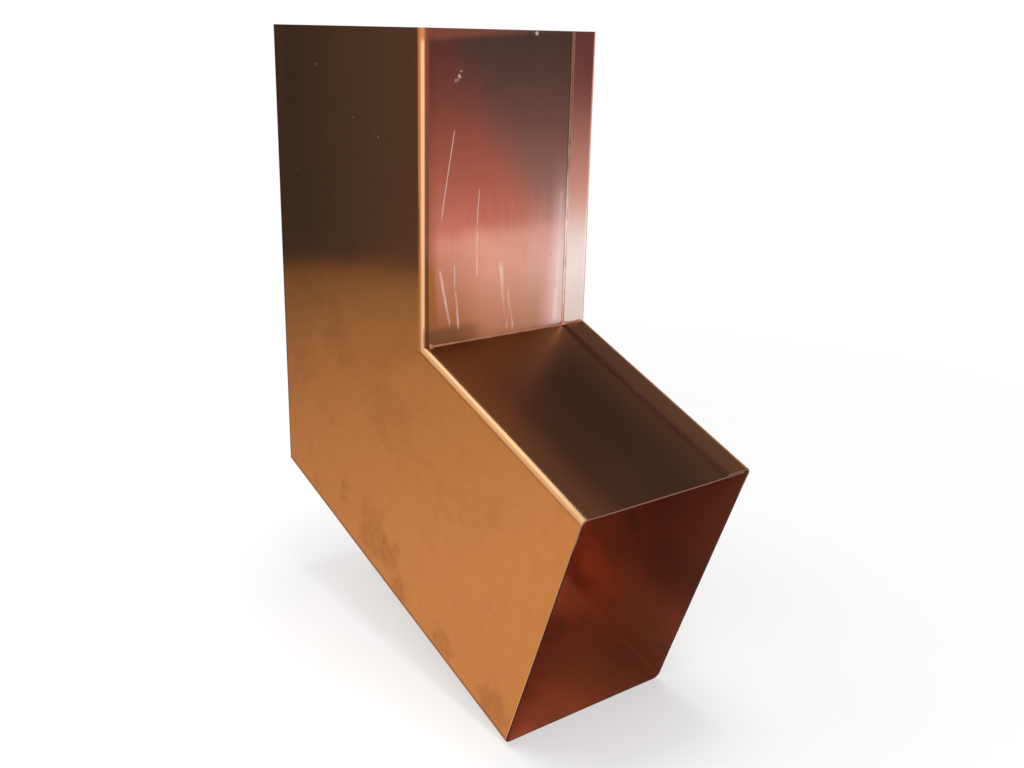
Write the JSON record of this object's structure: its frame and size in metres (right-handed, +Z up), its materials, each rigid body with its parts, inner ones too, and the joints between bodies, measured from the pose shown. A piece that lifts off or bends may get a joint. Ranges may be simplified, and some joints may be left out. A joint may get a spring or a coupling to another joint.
{
  "type": "downspout elbow",
  "caption": "Rectangular copper downspout elbow with a mitred bend, open at each end, folded from sheet and soldered. It turns roof water outward at the foot of a pipe.",
  "frame": {"origin": "centre of the inlet's rim", "axes": "+Z up along the inlet leg, +X the way the outlet kicks out, +Y across the width towards the lapped side"},
  "size_m": [0.137, 0.0508, 0.1629],
  "materials": {
    "copper": "bright mill copper with scratches and handling marks",
    "solder": "thin dressed solder, tinged by the copper"
  },
  "bodies": {
    "root": {"inlet_leg": "copper", "outlet_leg": "copper", "inlet_lap_solder": "solder", "outlet_lap_solder": "solder", "throat_solder": "solder", "mitre_solder": "solder"}
  },
  "joints": []
}
